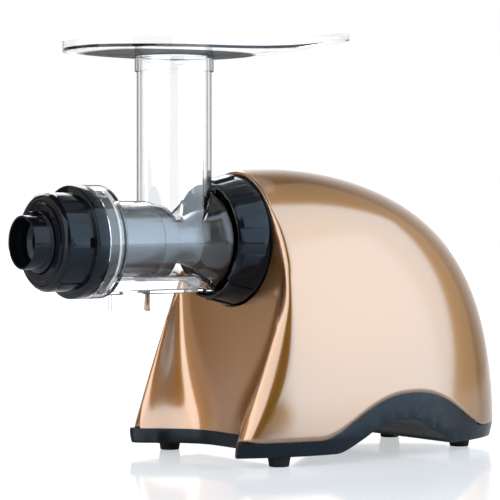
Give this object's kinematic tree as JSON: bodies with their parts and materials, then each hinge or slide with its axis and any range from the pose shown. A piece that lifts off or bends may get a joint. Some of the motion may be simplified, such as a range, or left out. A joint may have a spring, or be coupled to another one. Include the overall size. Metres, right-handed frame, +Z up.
{
  "type": "cold press juicer",
  "caption": "Horizontal single-auger cold press juicer: clear drum with feed tube and tray, black locking ring, end cap and nozzle, arched metallic copper housing on rubber feet.",
  "frame": {"origin": "middle of the overall length and width, on the surface that the feet stand on", "axes": "+Z up, the drum and auger along X with the pulp nozzle towards -X and the motor housing towards +X, Y across the width"},
  "size_m": [0.4346, 0.192, 0.3386],
  "materials": {
    "copper_paint": "warm copper-gold metallic paint under clear lacquer",
    "base_plastic": "dark slate moulded ABS, fine satin texture",
    "gloss_black": "polished black",
    "clear_plastic": "clear polished copolyester",
    "auger_plastic": "grey high-strength moulded plastic, semi-gloss",
    "rubber_foot": "matte black rubber",
    "silicone": "translucent silicone",
    "steel": "bright steel",
    "mesh_steel": "stainless sheet",
    "gear_nylon": "natural nylon",
    "gearbox_plastic": "glass-filled black nylon",
    "motor_alloy": "die-cast",
    "core_steel": "varnished lamination stack",
    "winding_copper": "enamelled copper wire",
    "bronze": "sintered bronze",
    "zinc_plate": "zinc-plated sheet steel",
    "board": "glass-epoxy board with its relay",
    "terminal_green": "moulded terminal block",
    "capacitor_case": "moulded can"
  },
  "bodies": {
    "body": {"body_shell": "copper_paint", "base": "base_plastic", "foot_front_right": "rubber_foot", "foot_front_left": "rubber_foot", "foot_rear_right": "rubber_foot", "foot_rear_left": "rubber_foot", "foot_screws": "steel", "case_screws": "steel", "drum": "clear_plastic", "drum_seal": "silicone", "drum_socket": "gloss_black", "socket_screws": "steel", "plunger_spring": "steel", "safety_switch": "gearbox_plastic", "juicing_screen": "auger_plastic", "screen_mesh": "mesh_steel", "idler_bushes": "bronze", "front_bearing": "steel", "rear_bearing": "steel", "gearbox_housing": "gearbox_plastic", "gearbox_cover": "gearbox_plastic", "gearbox_screws": "steel", "gearbox_bracket": "zinc_plate", "bracket_screws": "steel", "stator_core": "core_steel", "stator_windings": "winding_copper", "motor_front_bell": "motor_alloy", "motor_rear_bell": "motor_alloy", "motor_bearings": "steel", "motor_bolts": "steel", "motor_cradle": "zinc_plate", "cradle_screws": "steel", "run_capacitor": "capacitor_case", "capacitor_clip": "zinc_plate", "control_board": "board", "terminal_block": "terminal_green", "power_inlet": "gearbox_plastic", "inlet_pins": "steel", "rocker_frame": "gearbox_plastic"},
    "lock": {"locking_ring": "gloss_black", "ring_retainer": "steel"},
    "plunger": {"safety_plunger": "gear_nylon"},
    "cap": {"end_cap": "gloss_black", "cap_seal": "silicone"},
    "nozzle": {"adjusting_nozzle": "gloss_black"},
    "tray": {"feed_tray": "clear_plastic"},
    "auger": {"auger": "auger_plastic", "auger_insert": "steel", "output_shaft": "steel", "output_gear": "gear_nylon"},
    "idler": {"idler_shaft": "steel", "idler_gear": "gear_nylon", "idler_pinion": "steel"},
    "motor_rotor": {"motor_shaft": "steel", "motor_pinion": "steel", "rotor": "motor_alloy", "cooling_fan": "gearbox_plastic"},
    "switch": {"power_rocker": "gloss_black"}
  },
  "joints": [
    {"name": "ring_turn", "type": "hinge", "parent": "body", "child": "lock", "pos_m": [0, 0, 0.171], "axis": [1, 0, 0], "range_deg": [0, 40]},
    {"name": "plunger_slide", "type": "slide", "parent": "body", "child": "plunger", "axis": [-1, 0, 0], "range_m": [0, 0.002]},
    {"name": "cap_turn", "type": "hinge", "parent": "body", "child": "cap", "pos_m": [0, 0, 0.171], "axis": [1, 0, 0], "range_deg": [0, 25]},
    {"name": "nozzle_turn", "type": "hinge", "parent": "cap", "child": "nozzle", "pos_m": [0, 0, 0.171], "axis": [1, 0, 0], "range_deg": [0, 120]},
    {"name": "tray_lift", "type": "slide", "parent": "body", "child": "tray", "axis": [0, 0, 1], "range_m": [0, 0.02]},
    {"name": "motor_spin", "type": "hinge", "parent": "body", "child": "motor_rotor", "pos_m": [0, 0, 0.15], "axis": [1, 0, 0], "continuous": true},
    {"name": "idler_spin", "type": "hinge", "parent": "body", "child": "idler", "pos_m": [0, 0, 0.1192], "axis": [1, 0, 0], "continuous": true},
    {"name": "auger_spin", "type": "hinge", "parent": "body", "child": "auger", "pos_m": [0, 0, 0.171], "axis": [1, 0, 0], "continuous": true},
    {"name": "switch_tilt", "type": "hinge", "parent": "body", "child": "switch", "pos_m": [0.211, 0, 0.068], "axis": [0, 1, 0], "range_deg": [-9, 9]}
  ],
  "couplings": [
    {"joint": "plunger_slide", "follows": "ring_turn", "m_per_rad": 0.0028648},
    {"joint": "idler_spin", "follows": "motor_spin", "ratio": -0.22222},
    {"joint": "auger_spin", "follows": "motor_spin", "ratio": 0.051852}
  ]
}
